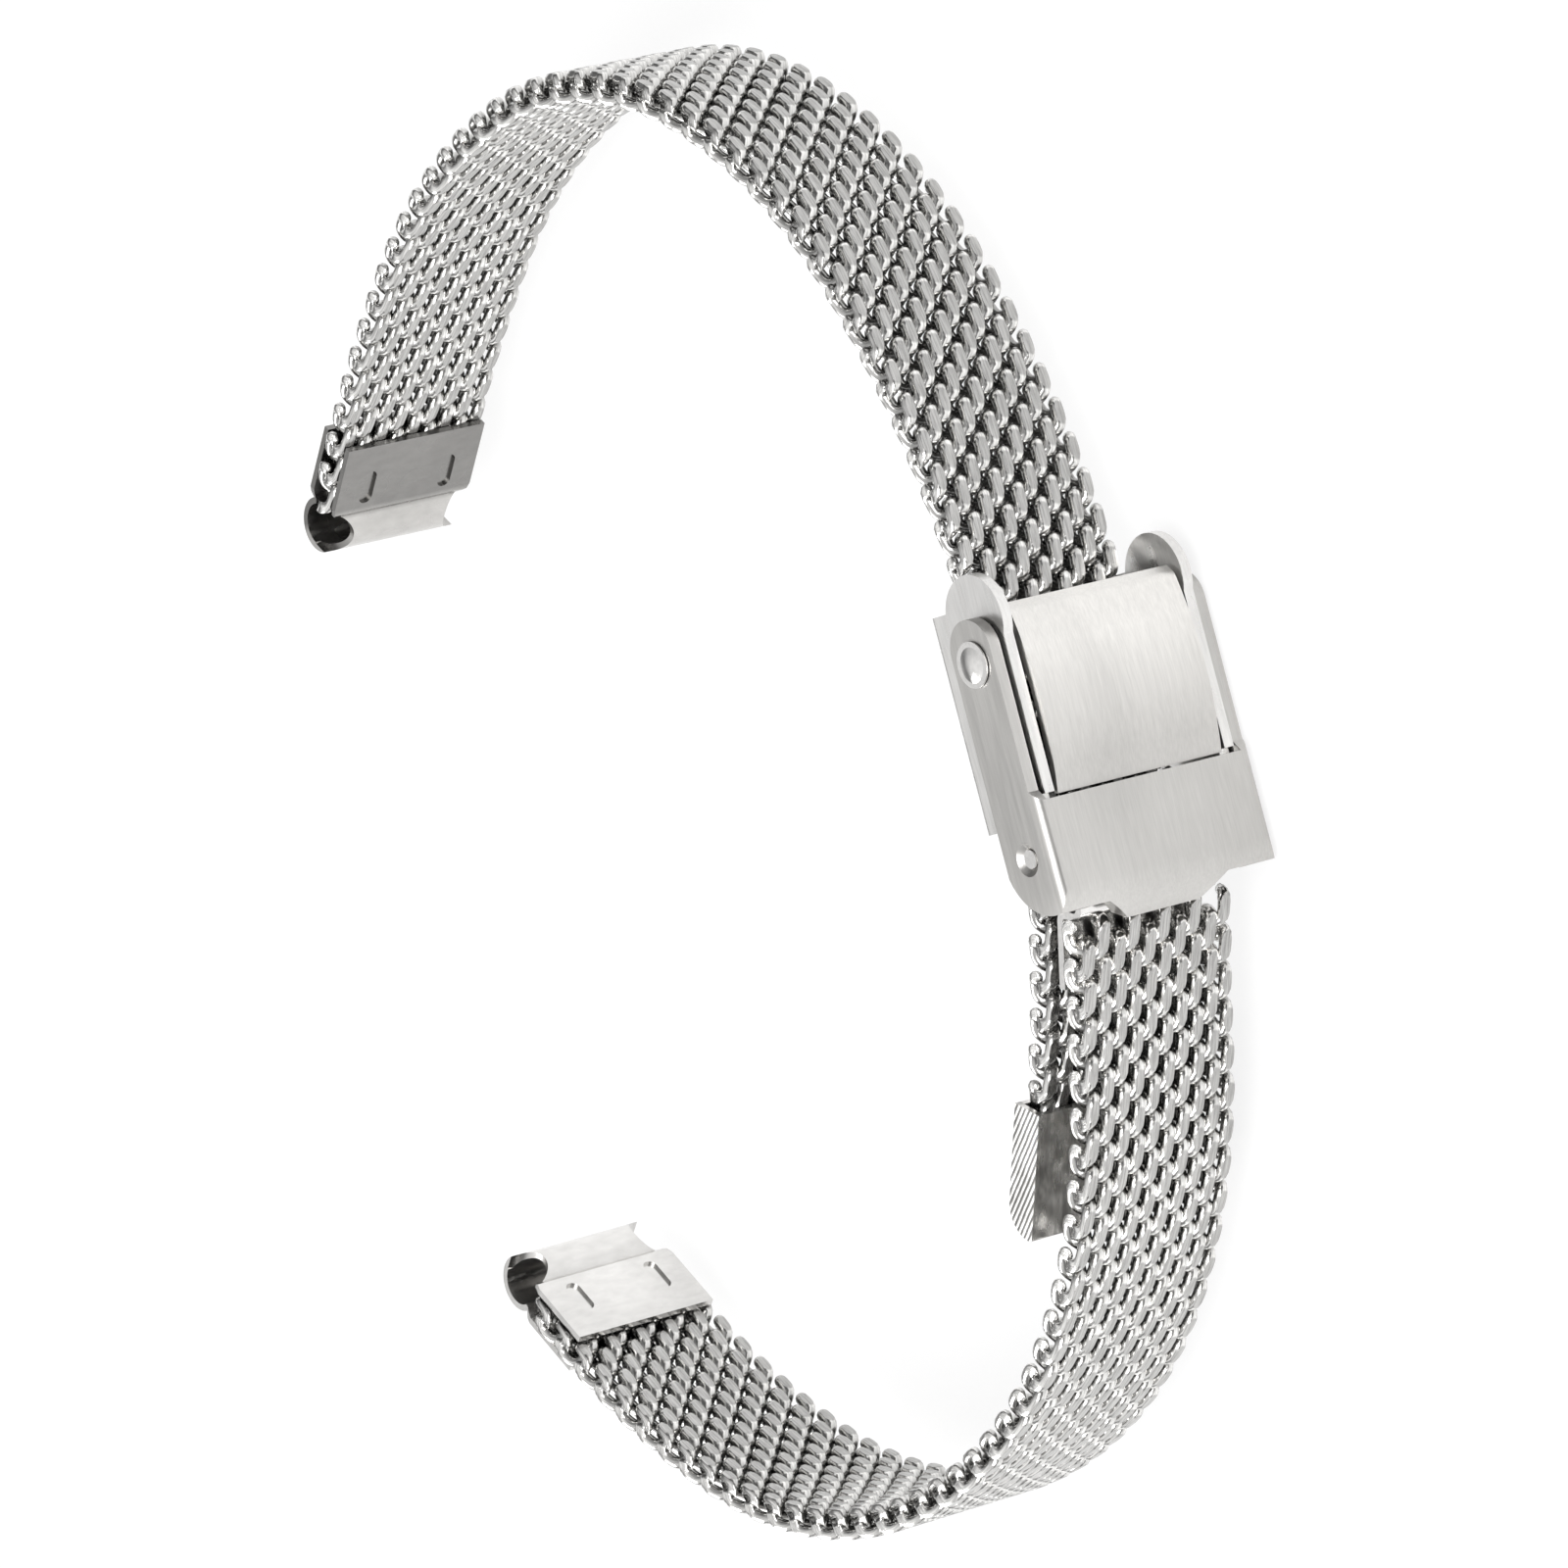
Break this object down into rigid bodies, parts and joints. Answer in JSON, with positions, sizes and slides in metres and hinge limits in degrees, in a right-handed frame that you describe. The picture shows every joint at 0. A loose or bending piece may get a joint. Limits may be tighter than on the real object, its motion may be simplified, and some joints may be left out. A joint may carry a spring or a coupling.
{
  "type": "milanese mesh watch band",
  "caption": "Woven steel mesh watch band in two lengths, joined by a sliding clasp with a hinged cover and a lock plate that nips the mesh, with spring-bar tubes.",
  "frame": {"origin": "centre of the loop's bounding box, on the table that the band lies on, sideways", "axes": "+Z across the band's width, +X along the clasp towards the long strap, and -Y out of the wrist at the clasp"},
  "size_m": [0.0654, 0.0526, 0.0121],
  "materials": {
    "mesh_steel": "polished",
    "polished_steel": "polished",
    "brushed_steel": "brushed"
  },
  "bodies": {
    "strap": {"long_mesh_clasp": "mesh_steel", "long_mesh_heel": "mesh_steel"},
    "slider": {"slider_channel": "brushed_steel", "pivot_pin": "polished_steel"},
    "lock": {"lock_plate": "brushed_steel"},
    "bail": {"cover": "brushed_steel", "hook_pin": "polished_steel"},
    "short_1": {"short_hook": "brushed_steel", "short_mesh_1": "mesh_steel"},
    "short_2": {"short_mesh_2": "mesh_steel"},
    "short_3": {"short_mesh_3": "mesh_steel"},
    "short_4": {"short_mesh_4": "mesh_steel"},
    "short_5": {"short_mesh_5": "mesh_steel", "short_bar_fitting": "polished_steel"},
    "long_1": {"long_mesh_1": "mesh_steel"},
    "long_2": {"long_mesh_2": "mesh_steel"},
    "long_3": {"long_mesh_3": "mesh_steel"},
    "long_4": {"long_mesh_4": "mesh_steel"},
    "long_5": {"long_mesh_5": "mesh_steel", "long_bar_fitting": "polished_steel"},
    "free_end": {"long_mesh_free_end": "mesh_steel", "free_end_cap": "polished_steel"}
  },
  "joints": [
    {"name": "slider_travel", "type": "slide", "parent": "strap", "child": "slider", "axis": [-1, 0, 0], "range_m": [0, 0.0018]},
    {"name": "lock_plate_hinge", "type": "hinge", "parent": "slider", "child": "lock", "pos_m": [0.00242, -0.02434, 0.00605], "axis": [0, 0, 1], "range_deg": [0, 48]},
    {"name": "cover_hinge", "type": "hinge", "parent": "slider", "child": "bail", "pos_m": [0.00242, -0.02434, 0.00605], "axis": [0, 0, 1], "range_deg": [0, 110]},
    {"name": "short_strap_hook", "type": "hinge", "parent": "bail", "child": "short_1", "pos_m": [-0.006, -0.0245, 0.00605], "axis": [0, 0, 1], "range_deg": [0, 6.5]},
    {"name": "short_bend_1", "type": "hinge", "parent": "short_1", "child": "short_2", "pos_m": [-0.02244, -0.0175, 0.00605], "axis": [0, 0, 1], "range_deg": [-4, 22]},
    {"name": "short_bend_2", "type": "hinge", "parent": "short_2", "child": "short_3", "pos_m": [-0.02961, -0.00868, 0.00605], "axis": [0, 0, 1], "range_deg": [-15, 25]},
    {"name": "short_bend_3", "type": "hinge", "parent": "short_3", "child": "short_4", "pos_m": [-0.03198, 0.00246, 0.00605], "axis": [0, 0, 1], "range_deg": [-15, 28]},
    {"name": "short_bend_4", "type": "hinge", "parent": "short_4", "child": "short_5", "pos_m": [-0.0289, 0.01338, 0.00605], "axis": [0, 0, 1], "range_deg": [-15, 28]},
    {"name": "long_bend_1", "type": "hinge", "parent": "strap", "child": "long_1", "pos_m": [0.00664, -0.02231, 0.00605], "axis": [0, 0, 1], "range_deg": [-12, 15]},
    {"name": "long_bend_2", "type": "hinge", "parent": "long_1", "child": "long_2", "pos_m": [0.01923, -0.01886, 0.00605], "axis": [0, 0, 1], "range_deg": [-22, 15]},
    {"name": "long_bend_3", "type": "hinge", "parent": "long_2", "child": "long_3", "pos_m": [0.02902, -0.01038, 0.00605], "axis": [0, 0, 1], "range_deg": [-30, 15]},
    {"name": "long_bend_4", "type": "hinge", "parent": "long_3", "child": "long_4", "pos_m": [0.03182, 0.00216, 0.00605], "axis": [0, 0, 1], "range_deg": [-30, 15]},
    {"name": "long_bend_5", "type": "hinge", "parent": "long_4", "child": "long_5", "pos_m": [0.02693, 0.01418, 0.00605], "axis": [0, 0, 1], "range_deg": [-22, 15]},
    {"name": "free_end_bend", "type": "hinge", "parent": "strap", "child": "free_end", "pos_m": [-0.00647, -0.02224, 0.00605], "axis": [0, 0, 1], "range_deg": [-20, 2]}
  ]
}
